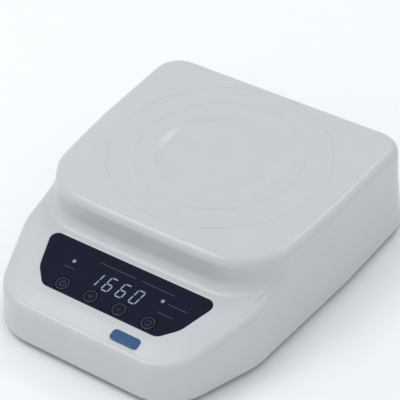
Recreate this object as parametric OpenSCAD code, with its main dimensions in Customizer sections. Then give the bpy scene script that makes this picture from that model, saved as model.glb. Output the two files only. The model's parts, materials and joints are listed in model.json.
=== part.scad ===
// Compact magnetic stirrer: a moulded housing with a raised vessel platform, a sloped
// control panel, and a motor that turns two magnets under the platform.
// Origin on the table at the middle of the footprint, +X right, -Y front, +Z up, millimetres.

/* [Housing] */
// Length of the housing, front to back
body_l = 190; // [180:1:230]
// Width of the housing at its back end
back_w = 157; // [153:1:200]
// Width of the housing beside the drive axis
waist_w = 155; // [150:1:190]
// Width of the housing beside the platform's front edge
shoulder_w = 145; // [141:1:182]
// Width of the housing at its front end
nose_w = 125; // [120:1:150]
// Radius of the two back corners in plan
back_r = 18; // [14:1:26]
// Radius of the two front corners in plan
nose_r = 28; // [22:1:36]
// Height of the platform over the table
platform_z = 53; // [51:0.5:66]
// Drop from the platform to the deck at the platform's foot
deck_drop = 16.8; // [14:0.2:19]
// Slope of the deck in degrees
deck_angle = 11.8; // [6:0.2:13]
// How far the walls lean in for each millimetre of height
draft = 0.08; // [0.02:0.01:0.1]
// Thickness of the moulded walls
wall = 2.4; // [2:0.1:3]
// Radius of the platform's soft edge
lip_r = 5.5; // [4:0.5:7]
// Radius of the deck's edge
deck_edge_r = 3; // [2.6:0.2:4]

/* [Platform] */
// Distance from the back end to the drive axis
axis_from_back = 66; // [60:1:80]
// Distance from the drive axis to the platform's front edge
lip_from_axis = 67.5; // [62:0.5:80]
// Width of the platform at its front edge
lip_w = 139; // [133:1:170]
// Radius of the platform's front corners in plan
lip_corner_r = 22; // [14:1:26]
// Diameter of the vessel dish at its rim
dish_d = 68.6; // [55:0.2:84]
// Depth of the vessel dish
dish_depth = 1.5; // [1:0.1:1.8]
// Width of the dish's sloped rim
dish_rim_w = 4.5; // [2:0.5:8]
// Diameter of the inner centring groove
groove_in_d = 88.4; // [86:0.2:100]
// Diameter of the outer centring groove
groove_out_d = 116.8; // [104:0.2:122]
// Width of a centring groove
groove_w = 0.7; // [0.4:0.1:1.2]

/* [Base] */
// Height of the rubber feet under the housing
foot_h = 3.5; // [2.5:0.5:6]
// Diameter of a foot
foot_d = 16; // [12:1:20]
// Thickness of the base plate
plate_t = 2.5; // [2:0.1:3.5]
// Gap between the base plate and the walls
plate_gap = 0.6; // [0.5:0.1:0.9]
// Length of a vent slot
vent_l = 26; // [16:1:34]
// Number of vent slots in a row
vents = 6; // [3:1:7]

/* [Panel] */
// Width of the glossy panel along its upper edge
panel_top_w = 98; // [96:1:112]
// Width of the glossy panel along its lower edge
panel_low_w = 76; // [75:1:92]
// Height of the glossy panel along the slope
panel_h = 30.2; // [29.8:0.2:36]
// Distance from the front end to the middle of the panel
panel_from_front = 32.6; // [30:0.2:40]
// Depth of the pocket that holds the panel
pocket_depth = 1; // [0.8:0.1:1.2]
// Thickness of the panel
panel_t = 1.2; // [1:0.1:1.6]
// Diameter of a key
key_d = 7.8; // [6.6:0.2:8]
// Distance between neighbouring keys
key_pitch = 17.3; // [16:0.1:19]
// Gap round a key
key_gap = 0.3; // [0.3:0.05:0.5]
// How far a key can be pressed
key_travel = 0.5; // [0.3:0.1:0.6]
// Diameter of an indicator light
led_d = 3; // [2:0.2:4]
// Distance between the two indicator lights
led_pitch = 54; // [50:1:60]
// Height of a display digit
digit_h = 9; // [8:0.2:9.6]
// Distance between neighbouring digits
digit_pitch = 8.2; // [7.5:0.1:9]

/* [Motor] */
// Outer diameter of the motor
motor_d = 37; // [34:0.5:44]
// Height of the motor's can
motor_h = 19; // [17:0.5:19.5]
// Diameter of the motor shaft
shaft_d = 5; // [4:0.1:6]
// Radial running gap of the shaft in its bushes
running_gap = 0.03; // [0.01:0.01:0.1]
// Thickness of the motor bracket
bracket_t = 2; // [1.6:0.2:2.4]
// Distance between the bracket's pillars across the housing
pillar_pitch_x = 66; // [60:1:80]
// Distance between the bracket's pillars along the housing
pillar_pitch_y = 50; // [46:1:60]

/* [Magnets] */
// Diameter of a drive magnet
magnet_d = 16; // [12:0.5:18]
// Thickness of a drive magnet
magnet_t = 6; // [5:0.2:6.4]
// Distance between the two magnets' middles
magnet_pitch = 32; // [26:1:36]
// Gap between the magnets and the underside of the dish
magnet_air = 1.7; // [1:0.1:2]

/* [Electrics] */
// Width of the driver board
board_w = 70; // [60:1:84]
// Length of the driver board
board_l = 36; // [32:1:40]
// Thickness of a circuit board
board_t = 1.6; // [1:0.1:2]
// Width of the control board behind the panel
control_w = 76; // [74:1:84]
// Outer diameter of the power inlet's threaded barrel
inlet_d = 11; // [9:0.5:13]
// Bore of the power inlet
inlet_bore = 5.6; // [5:0.1:6.4]
// Diameter of the power inlet's centre pin
inlet_pin_d = 2; // [1.6:0.1:2.5]
// Diameter of a lead
lead_d = 1.6; // [1.2:0.1:2]

/* [Hidden] */
$fn = 48;

eps = 0.01;
rays = 120;                     // points round the housing's skin
front_y = -body_l / 2;
back_y = body_l / 2;
axis_y = back_y - axis_from_back;
lip_y = axis_y - lip_from_axis;
shell_z = foot_h;               // lower edge of the walls
plate_top = shell_z + plate_t;
slope = tan(deck_angle);
cove_w = 7;                     // reach of the hollow curve at the platform's foot
fade_back = 50;                 // where the step has died away, behind the lip
fade_front = 16;                // where the step starts to die away, behind the lip

// A post is [x, y, radius]: the plan outlines wrap round mirrored pairs of posts, which are
// listed from the back to the front for the right-hand side.
function post(half_w, y_edge, r, end) = [half_w - r, y_edge - end * r, r];
function both_sides(posts) = concat(
    [for (i = [len(posts) - 1 : -1 : 0]) posts[i]],
    [for (p = posts) [-p[0], p[1], p[2]]]);

side_r = 40;                    // gentle bends along the sides
back_post = post(back_w / 2, back_y, back_r, 1);
waist_post = post(waist_w / 2, axis_y, side_r, 0);
shoulder_post = post(shoulder_w / 2, lip_y, side_r, 0);
nose_post = post(nose_w / 2, front_y, nose_r, -1);
shell_posts = both_sides([back_post, waist_post, shoulder_post, nose_post]);
shell_lines = tangents(shell_posts);

lip_lean = draft * (platform_z - lip_r - shell_z);
lip_lines = tangents(both_sides(concat(
    [for (p = [back_post, waist_post]) [p[0], p[1], p[2] - lip_lean]],
    [post(lip_w / 2, lip_y, lip_corner_r, -1)])));

// Distance from the origin to an outline's tangent with its normal at angle a
function reach(posts, a) = max([for (p = posts) p[0] * cos(a) + p[1] * sin(a) + p[2]]);
// Normal of the straight run between two neighbouring posts
function run_normal(p, q) = let (d = q - p)
    atan2(d[1], d[0]) - acos((p[2] - q[2]) / norm([d[0], d[1]]));
// An outline's tangents, as [cos, sin, reach] of each normal: its straight runs and its bends
function tangents(posts) = [
    for (a = concat([for (a = [0 : 4 : 356]) a],
                    [for (i = [0 : len(posts) - 1])
                        run_normal(posts[i], posts[(i + 1) % len(posts)])]))
        [cos(a), sin(a), reach(posts, a)]
];
// Distance from the origin to the outline along angle a, with the outline drawn in by inset
function ray(lines, a, inset) =
    min([for (t = lines) let (c = t[0] * cos(a) + t[1] * sin(a)) if (c > 0.3) (t[2] - inset) / c]);
// Points of an outline drawn in by inset, one for each angle of its normal
function tangent_post(posts, a, i = 0, best = 0) =
    i == len(posts) ? posts[best] :
    tangent_post(posts, a, i + 1,
        posts[i] * [cos(a), sin(a), 1] > posts[best] * [cos(a), sin(a), 1] + eps ? i : best);
function outline(posts, inset, step = 5) = [
    for (a = [0 : step : 359])
        let (p = tangent_post(posts, a)) [p[0], p[1]] + (p[2] - inset) * [cos(a), sin(a)]
];

function mix(a, b, t) = a + (b - a) * t;
function clamp01(t) = min(1, max(0, t));
function smooth(t) = let (c = clamp01(t)) c * c * (3 - 2 * c);

// Height of the deck's plane, and how far the skin lies below the platform, at y
function deck_z(y) = platform_z - deck_drop + slope * (y - lip_y);
function fade(y) = 1 - smooth((y - lip_y - fade_front) / (fade_back - fade_front));
function step_at(y) = max(0, platform_z - deck_z(y)) * fade(y);

// The step from the deck up to the platform: [way across it, share of its height]
step_curve = [
    [0, 0], [0.24, 0.03], [0.38, 0.10], [0.48, 0.25], [0.53, 0.46], [0.56, 0.69],
    [0.62, 0.85], [0.78, 0.96], [1, 1]
];
edge_turns = [0, 30, 60, 90];

// Height of the skin at the edge over the walls, from a rough height.
function edge_top(a, off, guess) =
    let (edge_in = off + draft * (guess - deck_edge_r - shell_z) + deck_edge_r)
    platform_z - off - step_at(ray(shell_lines, a, edge_in) * sin(a));

// One radial slice of the skin from the wall's foot to the platform, as [distance, height].
// off is 0 for the outer skin and the wall's thickness for the inner one.
function slice(a, off) =
    let (
        foot = ray(shell_lines, a, off),
        top = edge_top(a, off, edge_top(a, off, edge_top(a, off, platform_z))),
        drop = platform_z - off - top,
        edge_r = max(mix(deck_edge_r, lip_r, clamp01(1 - drop / 8)) - off, 0.5),
        lean = off + draft * (top - edge_r - shell_z),
        edge_d = ray(shell_lines, a, lean + edge_r),
        lip_d = ray(lip_lines, a, off),
        out = min(cove_w, edge_d - lip_d - 0.4),
        in = min(-lip_r, out - 4),
        low = step_at((lip_d + out) * sin(a))
    )
    concat(
        [[foot, shell_z - (off > 0 ? 1 : 0)]],
        [for (t = edge_turns)
            [ray(shell_lines, a, lean + edge_r * (1 - cos(t))), top - edge_r * (1 - sin(t))]],
        [for (s = step_curve)
            [lip_d + mix(out, in, s[0]), platform_z - off - low * (1 - s[1])]]
    );

module skin(off) {
    slices = [for (i = [0 : rays - 1]) slice(i * 360 / rays, off)];
    n = len(slices[0]);
    points = [
        for (i = [0 : rays - 1]) let (a = i * 360 / rays)
            for (p = slices[i]) [p[0] * cos(a), p[0] * sin(a), p[1]]
    ];
    sides = [
        for (i = [0 : rays - 1]) let (j = (i + 1) % rays)
            for (k = [0 : n - 2])
                for (f = [[i * n + k, i * n + k + 1, j * n + k + 1],
                          [i * n + k, j * n + k + 1, j * n + k]]) f
    ];
    floor = [for (i = [0 : rays - 1]) i * n];
    roof = [for (i = [rays - 1 : -1 : 0]) i * n + n - 1];
    polyhedron(points, concat(sides, [floor, roof]), convexity = 4);
}

// ---- Panel frame: x to the right, y up the slope, z out of the deck ----
panel_y = front_y + panel_from_front;
module on_panel() {
    translate([0, panel_y, deck_z(panel_y)])
        rotate([deck_angle, 0, 0])
            children();
}
panel_bow = 0.8;                // how far the panel's sides swell
panel_posts = both_sides([
    post(panel_top_w / 2, panel_h / 2, 4, 1),
    post((panel_low_w + panel_top_w) / 4 + panel_bow, 0, 12, 0),
    post(panel_low_w / 2, -panel_h / 2, 6, -1)
]);
panel_top = panel_t - pocket_depth;          // how proud the panel stands
key_row_y = 4.8 - panel_h / 2;
led_row_y = panel_h / 2 - 11.4;
digit_row_y = panel_h / 2 - 15.4;
row_shift = 0.5;                             // the keys and digits sit this far right of the middle
led_shift = -1.4;                            // and the indicator lights this far left of it
key_x = [for (i = [0 : 3]) row_shift + (i - 1.5) * key_pitch];
led_x = [for (s = [-1, 1]) led_shift + s * led_pitch / 2];
key_hole_d = key_d + 2 * key_gap;
key_flange_d = key_hole_d + 0.6;
control_top = -8.5;                          // upper face of the control board
tact_h = 3.5;
tact_w = 6;
display_w = 4 * digit_pitch + 1;
display_h = digit_h + 0.6;
window_gap = 0.3;
control_l = panel_h - 2;
control_screw = [control_w / 2 - 3.5, control_l / 2 - 4];

// ---- Screws: pan head, driven from +z ----
module screw(d, l, head_d, head_h) {
    translate([0, 0, -l])
        cylinder(d = d, h = l);
    difference() {
        cylinder(d = head_d, h = head_h);
        for (turn = [0, 90])
            rotate([0, 0, turn])
                translate([-head_d * 0.28, -0.4, head_h * 0.4])
                    cube([head_d * 0.56, 0.8, head_h]);
    }
}
screw_d = 3;
pilot_d = 2.5;
head_d = 5.6;
head_h = 2;
small_screw_d = 2.2;
small_pilot_d = 1.8;
small_head_d = 4;
small_head_h = 1.5;

// A lead: straight runs with round elbows, a little fuller than the runs, along its route
elbow_swell = 1.04;
module lead(route, d) {
    for (i = [0 : len(route) - 2])
        let (run = route[i + 1] - route[i], l = norm(run))
            translate(route[i])
                rotate([0, acos(run[2] / l), atan2(run[1], run[0])])
                    cylinder(d = d, h = l, $fn = 16);
    for (i = [1 : len(route) - 2])
        translate(route[i])
            sphere(d = d * elbow_swell, $fn = 16);
}

// ---- Base layout ----
boss_d = 8;
back_boss = [back_w / 2 - 19, back_y - 42];
front_boss = [nose_w / 2 - 6.5, front_y + 43];
boss_places = [for (b = [back_boss, front_boss]) for (s = [-1, 1]) [s * b[0], b[1]]];
function boss_top(p) = platform_z - wall / 2 - step_at(p[1] - boss_d / 2);
back_foot = [back_w / 2 - 19, back_y - 19];
front_foot = [nose_w / 2 - 21.5, front_y + 15.5];
foot_hole_d = 6;
head_sink_d = head_d + 1;
plate_posts_inset = wall + plate_gap;

module boss_columns() {
    for (p = boss_places)
        translate([p[0], p[1], plate_top])
            cylinder(d = boss_d, h = boss_top(p) - plate_top);
}
module boss_pilots() {
    for (p = boss_places)
        translate([p[0], p[1], plate_top - 1])
            cylinder(d = pilot_d, h = 13);
}

// ---- Drive stack, from the dish downwards ----
dish_floor_z = platform_z - dish_depth;
magnet_top = dish_floor_z - wall - magnet_air;
magnet_z = magnet_top - magnet_t;
yoke_t = 1.5;
yoke_z = magnet_z - yoke_t;
holder_floor_t = 1.5;
bar_z = yoke_z - holder_floor_t;
bar_top = magnet_top - 1;
hub_h = 3.4;
hub_z = bar_z - hub_h;
hub_d = 13;
disc_h = 2;
disc_z = hub_z - 0.2 - disc_h;
bush_top_z = disc_z - 0.7;                   // upper end of the upper bush
bracket_top = bush_top_z - 1.2;
bracket_z = bracket_top - bracket_t;
can_z = bracket_z - motor_h;
cap_t = 2;
cap_z = can_z - cap_t;
can_wall = 1.2;
bush_d = 9;
neck_d = bush_d + 4;
bush_hole_d = shaft_d + 2 * running_gap;
motor_screw_x = 11;
grommet_flange_h = 1.5;
grommet_d = 10;
grommet_neck_d = 7;
grommet_bore = 3.4;
pillar_top = bracket_z - grommet_flange_h;
pillar_d = 8;
pillars = [for (sx = [-1, 1]) for (sy = [-1, 1])
    [sx * pillar_pitch_x / 2, axis_y + sy * pillar_pitch_y / 2]];

// ---- Driver board ----
board_y = axis_y - pillar_pitch_y / 2 - 10 - board_l / 2;
standoff_h = 5;
standoff_d = 6;
board_z = plate_top + standoff_h;
board_top = board_z + board_t;
board_posts = [for (sx = [-1, 1]) for (sy = [-1, 1])
    [sx * (board_w / 2 - 4), board_y + sy * (board_l / 2 - 4)]];

// ---- Power inlet ----
inlet_x = back_w / 2 - 42;
inlet_z = 22;
inlet_wall_y = back_y - draft * (inlet_z - shell_z);   // outer face of the back wall there
inlet_tilt = atan(draft);
inlet_flange_d = inlet_d + 3;
inlet_flange_t = 1.2;
inlet_reach = 14;                            // from the flange to the ends of the contacts
contact_x = 2.5;                             // the contacts' distance from the middle
module at_inlet() {
    translate([inlet_x, inlet_wall_y, inlet_z])
        rotate([-90 + inlet_tilt, 0, 0])
            translate([0, 0, -inlet_flange_t])
                children();
}

// ======================= Housing =======================
module platform_dish() {
    floor_r = dish_d / 2 - dish_rim_w;
    translate([0, axis_y, 0])
        rotate_extrude($fn = 120)
            polygon([
                [0, dish_floor_z], [floor_r, dish_floor_z],
                [dish_d / 2, platform_z], [dish_d / 2, platform_z + 2], [0, platform_z + 2]
            ]);
}

module centring_groove(d) {
    translate([0, axis_y, 0])
        rotate_extrude($fn = 120)
            translate([d / 2 - groove_w / 2, platform_z - groove_w / 2])
                square([groove_w, 2]);
}

module panel_cuts() {
    on_panel() {
        translate([0, 0, -pocket_depth])
            linear_extrude(6)
                polygon(outline(panel_posts, -0.1));
        translate([row_shift - display_w / 2 - window_gap,
                   digit_row_y - display_h / 2 - window_gap, -8])
            cube([display_w + 2 * window_gap, display_h + 2 * window_gap, 9]);
        for (x = key_x)
            translate([x, key_row_y, -8])
                cylinder(d = key_hole_d, h = 9);
        for (x = led_x)
            translate([x, led_row_y, -8])
                cylinder(d = led_d + 0.2, h = 9);
    }
}

module top_housing() {
    color("#e9ecee")
    difference() {
        union() {
            difference() {
                skin(0);
                skin(wall);
            }
            // the dish keeps its wall under the recess
            translate([0, axis_y, dish_floor_z - wall])
                cylinder(d = dish_d + 2, h = wall + dish_depth - 1, $fn = 120);
            boss_columns();
            on_panel()
                for (sx = [-1, 1]) for (sy = [-1, 1])
                    translate([sx * control_screw[0], sy * control_screw[1], control_top])
                        cylinder(d = 6, h = -control_top - wall / 2);
        }
        platform_dish();
        centring_groove(groove_in_d);
        centring_groove(groove_out_d);
        panel_cuts();
        boss_pilots();
        on_panel()
            for (sx = [-1, 1]) for (sy = [-1, 1])
                translate([sx * control_screw[0], sy * control_screw[1], control_top - 1])
                    cylinder(d = small_pilot_d, h = 6);
        at_inlet() {
            translate([0, 0, -8])
                cylinder(d = inlet_d + 0.2, h = 9);
            cylinder(d = inlet_flange_d + 0.2, h = 9);
        }
    }
}

module base_plate() {
    vent_pitch = 6;
    color("#3a3d40")
    difference() {
        union() {
            translate([0, 0, shell_z])
                linear_extrude(plate_t)
                    polygon(outline(shell_posts, plate_posts_inset));
            for (p = pillars)
                translate([p[0], p[1], plate_top - eps])
                    cylinder(d = pillar_d, h = pillar_top - plate_top + eps);
            for (p = board_posts)
                translate([p[0], p[1], plate_top - eps])
                    cylinder(d = standoff_d, h = standoff_h + eps);
        }
        for (p = pillars)
            translate([p[0], p[1], pillar_top - 12])
                cylinder(d = pilot_d, h = 13);
        for (p = board_posts)
            translate([p[0], p[1], plate_top])
                cylinder(d = small_pilot_d, h = standoff_h + 1);
        for (p = boss_places)
            translate([p[0], p[1], shell_z - 1]) {
                cylinder(d = screw_d + 0.4, h = plate_t + 2);
                cylinder(d = head_sink_d, h = plate_t);
            }
        for (s = [-1, 1]) for (f = [back_foot, front_foot])
            translate([s * f[0], f[1], shell_z - 1])
                cylinder(d = foot_hole_d, h = plate_t + 2);
        for (s = [-1, 1])
            for (i = [0 : vents - 1])
                translate([s * (back_w / 4 - 18) - vent_l / 2 + s * 4,
                           axis_y + (i - (vents - 1) / 2) * vent_pitch - 1, shell_z - 1])
                    cube([vent_l, 2, plate_t + 2]);
    }
}

module foot(place) {
    color("#2a2b2d")
    translate([place[0], place[1], 0]) {
        cylinder(d1 = foot_d - 2, d2 = foot_d, h = 1);
        translate([0, 0, 1])
            cylinder(d = foot_d, h = foot_h - 1);
        translate([0, 0, foot_h])
            cylinder(d = foot_hole_d, h = plate_t);
    }
}
module foot_front_left() { foot([-front_foot[0], front_foot[1]]); }
module foot_front_right() { foot(front_foot); }
module foot_back_left() { foot([-back_foot[0], back_foot[1]]); }
module foot_back_right() { foot(back_foot); }

module base_screws() {
    color("silver")
    for (p = boss_places)
        translate([p[0], p[1], plate_top - 1])
            rotate([180, 0, 0])
                screw(screw_d, 11, head_d, 1.4);
}

module rating_label() {
    color("whitesmoke")
    translate([-25, front_y + 24, shell_z - 0.2])
        cube([50, 26, 0.2]);
}

module badge() {
    badge_l = 16;
    badge_w = 6;
    badge_x = 22;
    color("#39597a")
    on_panel()
        translate([badge_x, -panel_h / 2 - 8, 0])
            linear_extrude(0.4)
                polygon(outline(both_sides([
                    post(badge_l / 2, badge_w / 2, 2, 1), post(badge_l / 2, -badge_w / 2, 2, -1)
                ]), 0, 15));
}

// ======================= Panel =======================
module panel_lens() {
    color("#1d2129")
    on_panel()
        difference() {
            translate([0, 0, -pocket_depth])
                linear_extrude(panel_t)
                    polygon(outline(panel_posts, 0));
            for (x = key_x)
                translate([x, key_row_y, -3])
                    cylinder(d = key_hole_d, h = 6);
            for (x = led_x)
                translate([x, led_row_y, -3])
                    cylinder(d = led_d, h = 6);
        }
}

// Seven-segment digits, slanted as on the display
seg_w = 0.75;
seg_gap = 0.5;                                   // from a digit's corner to a segment's shoulder
digit_w = 4.6;
digit_slant = 0.16;
segments = [                                     // ends in half digits: [[x, y], [x, y]]
    [[-1, 1], [1, 1]], [[1, 1], [1, 0]], [[1, 0], [1, -1]], [[-1, -1], [1, -1]],
    [[-1, 0], [-1, -1]], [[-1, 1], [-1, 0]], [[-1, 0], [1, 0]]
];
lit = [[1, 2], [0, 2, 3, 4, 5, 6], [0, 2, 3, 4, 5, 6], [0, 1, 2, 3, 4, 5]];

module segment(ends) {
    half = [digit_w - seg_w, digit_h - seg_w] / 2;
    p = [for (e = ends) [e[0] * half[0] + e[1] * half[1] * digit_slant, e[1] * half[1]]];
    along = (p[1] - p[0]) / norm(p[1] - p[0]);
    across = [-along[1], along[0]] * seg_w / 2;
    a = p[0] + along * seg_gap;
    b = p[1] - along * seg_gap;
    tip = along * seg_w / 4;
    linear_extrude(0.1)
        polygon([a - tip, a + across, b + across, b + tip, b - across, a - across]);
}

module display_digits() {
    color("#bfe0f2")
    on_panel()
        for (i = [0 : 3])
            translate([row_shift + (i - 1.5) * digit_pitch, digit_row_y, panel_top])
                for (s = lit[i])
                    segment(segments[s]);
}

module indicator(i) {
    on_panel()
        translate([led_x[i], led_row_y, control_top])
            cylinder(d = led_d, h = panel_top + 0.1 - control_top);
}
module led_power() { color("#cfe6f0") indicator(0); }
module led_run() { color("#cfe6f0") indicator(1); }

module display_module() {
    color("#15171a")
    on_panel()
        translate([row_shift - display_w / 2, digit_row_y - display_h / 2, control_top])
            cube([display_w, display_h, -control_top - pocket_depth]);
}

module control_pcb() {
    color("#1f6b3a")
    on_panel()
        difference() {
            translate([-control_w / 2, -control_l / 2, control_top - board_t])
                cube([control_w, control_l, board_t]);
            for (sx = [-1, 1]) for (sy = [-1, 1])
                translate([sx * control_screw[0], sy * control_screw[1], control_top - board_t - 1])
                    cylinder(d = small_screw_d + 0.4, h = board_t + 2);
        }
}

module pcb_screws() {
    color("silver")
    on_panel()
        for (sx = [-1, 1]) for (sy = [-1, 1])
            translate([sx * control_screw[0], sy * control_screw[1], control_top - board_t])
                rotate([180, 0, 0])
                    screw(small_screw_d, 5.5, small_head_d, small_head_h);
}

plunger_d = 3.4;
plunger_top = control_top + tact_h + 0.8;
plunger_low = control_top + tact_h - 0.8;
module tact_switches() {
    color("#2b2d30")
    on_panel()
        for (x = key_x)
            translate([x, key_row_y, control_top])
                difference() {
                    translate([-tact_w / 2, -tact_w / 2, 0])
                        cube([tact_w, tact_w, tact_h]);
                    translate([0, 0, plunger_low - key_travel - 0.4 - control_top])
                        cylinder(d = plunger_d + 0.6, h = tact_h);
                }
}

module key(i) {
    color("#20242c")
    on_panel()
        translate([key_x[i], key_row_y, 0]) {
            translate([0, 0, plunger_top])
                cylinder(d = 4, h = -wall - 1.3 - plunger_top);
            translate([0, 0, -wall - 1.3])
                cylinder(d = key_flange_d, h = 1);
            translate([0, 0, -wall - 0.3])
                cylinder(d = key_d, h = wall + 0.3 + panel_top);
        }
}
module plunger(i) {
    color("#8a8d90")
    on_panel()
        translate([key_x[i], key_row_y, plunger_low])
            cylinder(d = plunger_d, h = plunger_top - plunger_low);
}
module key_power() { key(0); }
module key_plus() { key(1); }
module key_minus() { key(2); }
module key_mode() { key(3); }
module plunger_power() { plunger(0); }
module plunger_plus() { plunger(1); }
module plunger_minus() { plunger(2); }
module plunger_mode() { plunger(3); }

// ======================= Drive =======================
module at_axis(z) {
    translate([0, axis_y, z])
        children();
}

module motor_bracket() {
    rib = grommet_d / 2 + 2;
    color("#b9bdc1")
    difference() {
        translate([-pillar_pitch_x / 2 - rib, axis_y - pillar_pitch_y / 2 - rib, bracket_z])
            cube([pillar_pitch_x + 2 * rib, pillar_pitch_y + 2 * rib, bracket_t]);
        at_axis(bracket_z - 1)
            cylinder(d = neck_d + 0.6, h = bracket_t + 2);
        for (sx = [-1, 1])
            translate([sx * motor_screw_x, axis_y, bracket_z - 1])
                cylinder(d = screw_d + 0.4, h = bracket_t + 2);
        for (p = pillars)
            translate([p[0], p[1], bracket_z - 1])
                cylinder(d = grommet_neck_d, h = bracket_t + 2);
    }
}

module grommets() {
    color("#26272a")
    for (p = pillars)
        translate([p[0], p[1], pillar_top])
            difference() {
                union() {
                    cylinder(d = grommet_d, h = grommet_flange_h);
                    cylinder(d = grommet_neck_d, h = 2 * grommet_flange_h + bracket_t);
                    translate([0, 0, grommet_flange_h + bracket_t])
                        cylinder(d = grommet_d, h = grommet_flange_h);
                }
                translate([0, 0, -1])
                    cylinder(d = grommet_bore, h = 2 * grommet_flange_h + bracket_t + 2);
            }
}

module bracket_screws() {
    color("silver")
    for (p = pillars)
        translate([p[0], p[1], bracket_top + grommet_flange_h])
            screw(screw_d, 14, head_d + 1, head_h);
}

module motor_can() {
    color("#c6c9cc")
    at_axis(0)
        difference() {
            union() {
                translate([0, 0, can_z])
                    cylinder(d = motor_d, h = motor_h);
                translate([0, 0, bracket_z - eps])
                    cylinder(d = neck_d, h = bracket_t + eps);
            }
            translate([0, 0, can_z - 1])
                cylinder(d = motor_d - 2 * can_wall, h = motor_h + 1 - 2);
            translate([0, 0, can_z])
                cylinder(d = bush_d, h = motor_h + bracket_t + 1);
            for (sx = [-1, 1])
                translate([sx * motor_screw_x, 0, bracket_z - 3])
                    cylinder(d = pilot_d, h = 4);
        }
}

module motor_end_cap() {
    color("#2c2e31")
    at_axis(0)
        difference() {
            union() {
                translate([0, 0, cap_z])
                    cylinder(d = motor_d, h = cap_t);
                translate([0, 0, can_z - eps])
                    cylinder(d = motor_d - 2 * can_wall - 0.1, h = 1);
            }
            translate([0, 0, cap_z + 0.8])
                cylinder(d = bush_d, h = cap_t + 2);
        }
}

field_out_d = motor_d - 2 * can_wall;
field_in_d = field_out_d - 7;
module field_ring() {
    color("#45484c")
    at_axis(can_z + 1.5)
        difference() {
            cylinder(d = field_out_d, h = motor_h - 4.5);
            translate([0, 0, -1])
                cylinder(d = field_in_d, h = motor_h);
        }
}

module bush(z, h) {
    color("#b08d57")
    at_axis(z)
        difference() {
            cylinder(d = bush_d, h = h);
            translate([0, 0, -1])
                cylinder(d = bush_hole_d, h = h + 2);
        }
}
module bush_top() { bush(bracket_z - 3, bush_top_z - bracket_z + 3); }
module bush_bottom() { bush(cap_z + 0.8, 3.4); }

module motor_screws() {
    color("silver")
    for (sx = [-1, 1])
        translate([sx * motor_screw_x, axis_y, bracket_top])
            screw(screw_d - 0.4, bracket_t + 1.8, head_d - 0.6, 1.3);
}

shaft_low = cap_z + 1.2;
shaft_top = yoke_z - 0.5;
module motor_shaft() {
    color("#d5d8da")
    at_axis(shaft_low)
        cylinder(d = shaft_d, h = shaft_top - shaft_low);
}

module rotor_core() {
    core_d = field_in_d - 1.2;
    slot_w = 2;
    color("#8d6b4a")
    at_axis(can_z + 3.5)
        difference() {
            cylinder(d = core_d, h = motor_h - 8.5);
            translate([0, 0, -1])
                cylinder(d = shaft_d, h = motor_h);
            for (i = [0 : 4])
                rotate([0, 0, i * 72])
                    translate([core_d / 2 - 5, -slot_w / 2, -1])
                        cube([6, slot_w, motor_h]);
        }
}

module encoder_disc() {
    teeth = 12;
    color("#17181a")
    at_axis(disc_z)
        difference() {
            union() {
                cylinder(d = 30, h = 0.8);
                cylinder(d = 9, h = disc_h);
            }
            translate([0, 0, -1])
                cylinder(d = shaft_d, h = disc_h + 2);
            for (i = [0 : teeth - 1])
                rotate([0, 0, i * 360 / teeth])
                    translate([10.5, -1, -1])
                        cube([3, 2, 3]);
        }
}

yoke_gap = 0.1;
yoke_l = magnet_pitch + magnet_d + 2;
yoke_w = magnet_d + 2;
holder_rim = 2.5;
module magnet_holder() {
    pocket = [yoke_l + 2 * yoke_gap, yoke_w + 2 * yoke_gap];
    bar = pocket + 2 * [holder_rim, holder_rim];
    color("#d9dcde")
    at_axis(0)
        difference() {
            union() {
                translate([-bar[0] / 2, -bar[1] / 2, bar_z])
                    cube([bar[0], bar[1], bar_top - bar_z]);
                translate([0, 0, hub_z])
                    cylinder(d = hub_d, h = hub_h + eps);
            }
            translate([-pocket[0] / 2, -pocket[1] / 2, yoke_z])
                cube([pocket[0], pocket[1], magnet_t + 10]);
            translate([0, 0, hub_z - 1])
                cylinder(d = shaft_d, h = yoke_z - hub_z + 2);
            translate([0, 0, hub_z + hub_h / 2])
                rotate([0, 90, 0])
                    cylinder(d = pilot_d, h = hub_d);
        }
}

module yoke_plate() {
    color("#9fa3a6")
    at_axis(yoke_z)
        translate([-yoke_l / 2, -yoke_w / 2, 0])
            cube([yoke_l, yoke_w, yoke_t]);
}

module magnet(side) {
    color("#c9ccce")
    at_axis(magnet_z)
        translate([side * magnet_pitch / 2, 0, 0])
            cylinder(d = magnet_d, h = magnet_t);
}
module magnet_north() { magnet(1); }
module magnet_south() { magnet(-1); }

module holder_screw() {
    color("#303236")
    at_axis(hub_z + hub_h / 2)
        rotate([0, 90, 0])
            translate([0, 0, shaft_d / 2])
                cylinder(d = pilot_d, h = (hub_d - shaft_d) / 2 - 0.3);
}

// ======================= Electrics =======================
module driver_pcb() {
    color("#1f6b3a")
    difference() {
        translate([-board_w / 2, board_y - board_l / 2, board_z])
            cube([board_w, board_l, board_t]);
        for (p = board_posts)
            translate([p[0], p[1], board_z - 1])
                cylinder(d = small_screw_d + 0.4, h = board_t + 2);
    }
}

module driver_screws() {
    color("silver")
    for (p = board_posts)
        translate([p[0], p[1], board_top])
            screw(small_screw_d, board_t + 4, small_head_d, small_head_h);
}

module capacitor() {
    color("#2d3f66")
    translate([board_w / 2 - 16, board_y + 2, board_top])
        cylinder(d = 8, h = 11);
}

module driver_chips() {
    color("#18191b")
    for (c = [[-18, -2, 10, 7, 1.8], [0, 2, 7, 7, 1.2], [4, -8, 5, 4, 1.4], [-24, 9, 4, 3, 1.2]])
        translate([c[0], board_y + c[1], board_top])
            cube([c[2], c[3], c[4]]);
}

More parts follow.
